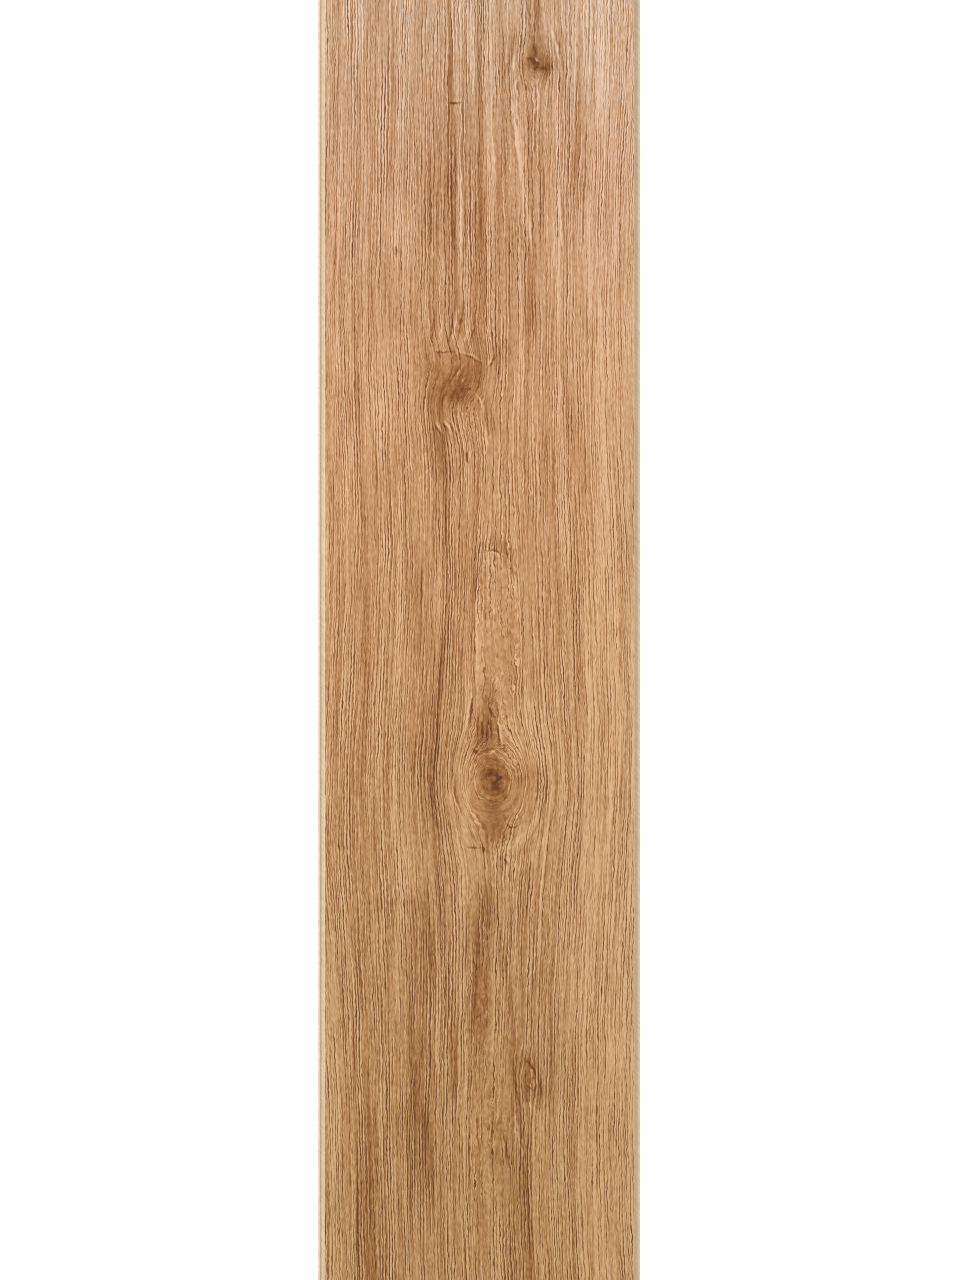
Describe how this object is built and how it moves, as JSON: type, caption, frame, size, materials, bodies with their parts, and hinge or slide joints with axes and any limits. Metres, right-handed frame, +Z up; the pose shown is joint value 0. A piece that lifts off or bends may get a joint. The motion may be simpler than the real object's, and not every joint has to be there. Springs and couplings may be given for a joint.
{
  "type": "laminate floor plank",
  "caption": "Flat oak-decor laminate floor plank: a click-lock tongue runs along one long edge and one end, and a grooved edge with a locking lip along the opposite two.",
  "frame": {"origin": "on the underside, below the middle of the decor face", "axes": "+Z up out of the decor face, +Y along the plank towards its end tongue, +X across it towards its long tongue"},
  "size_m": [0.1997, 1.2928, 0.008],
  "materials": {
    "oak_laminate": "satin, embossed oak decor"
  },
  "bodies": {
    "root": {"plank": "oak_laminate"}
  },
  "joints": []
}
